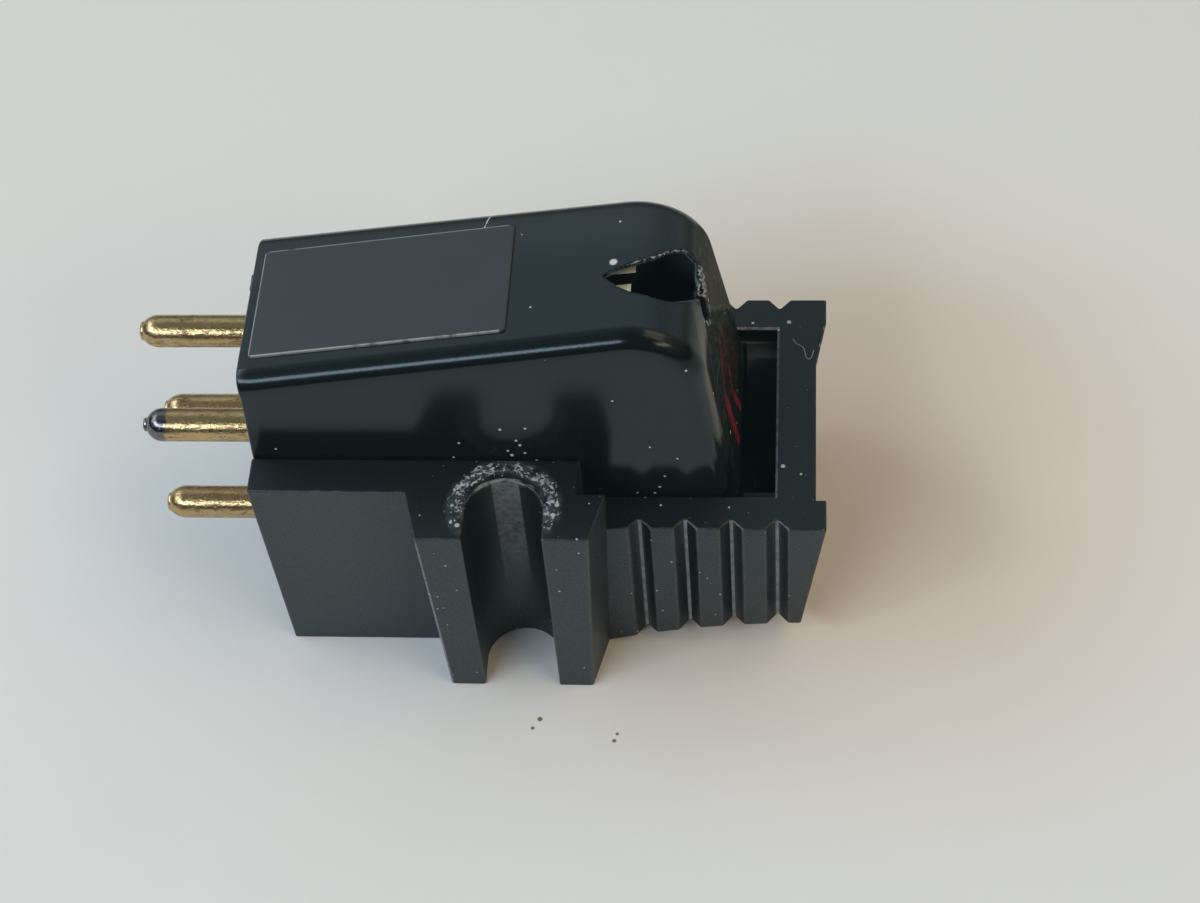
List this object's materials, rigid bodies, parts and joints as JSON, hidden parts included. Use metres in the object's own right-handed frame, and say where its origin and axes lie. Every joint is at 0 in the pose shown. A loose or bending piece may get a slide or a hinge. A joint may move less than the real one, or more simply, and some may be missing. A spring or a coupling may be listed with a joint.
{
  "type": "turntable phono cartridge without stylus",
  "caption": "Wedge-shaped moving-magnet phono cartridge in a notched mounting bracket, with rear terminal pins and an empty stylus opening.",
  "frame": {"origin": "on the mounting face, midway between the two screw notches", "axes": "+X to the stylus end, +Z away from the mounting face, +Y to the left side seen from the rear"},
  "size_m": [0.026, 0.015, 0.0156],
  "materials": {
    "bracket_plastic": "fine matt moulding",
    "body_plastic": "semi-gloss moulding",
    "board_plastic": "matt",
    "label_foil": "satin paint",
    "pin_brass": "tarnished",
    "iron": "plain",
    "bobbin_plastic": "natural nylon",
    "copper": "enamelled wire"
  },
  "bodies": {
    "root": {"mounting_bracket": "bracket_plastic", "body_shell": "body_plastic", "base_cover": "body_plastic", "terminal_board": "board_plastic", "label": "label_foil", "shield": "iron", "left_signal_pin": "pin_brass", "left_return_pin": "pin_brass", "left_yoke": "iron", "left_upper_pole": "iron", "left_upper_bobbin": "bobbin_plastic", "left_upper_winding": "copper", "left_lower_pole": "iron", "left_lower_bobbin": "bobbin_plastic", "left_lower_winding": "copper", "right_signal_pin": "pin_brass", "right_return_pin": "pin_brass", "right_yoke": "iron", "right_upper_pole": "iron", "right_upper_bobbin": "bobbin_plastic", "right_upper_winding": "copper", "right_lower_pole": "iron", "right_lower_bobbin": "bobbin_plastic", "right_lower_winding": "copper"}
  },
  "joints": []
}
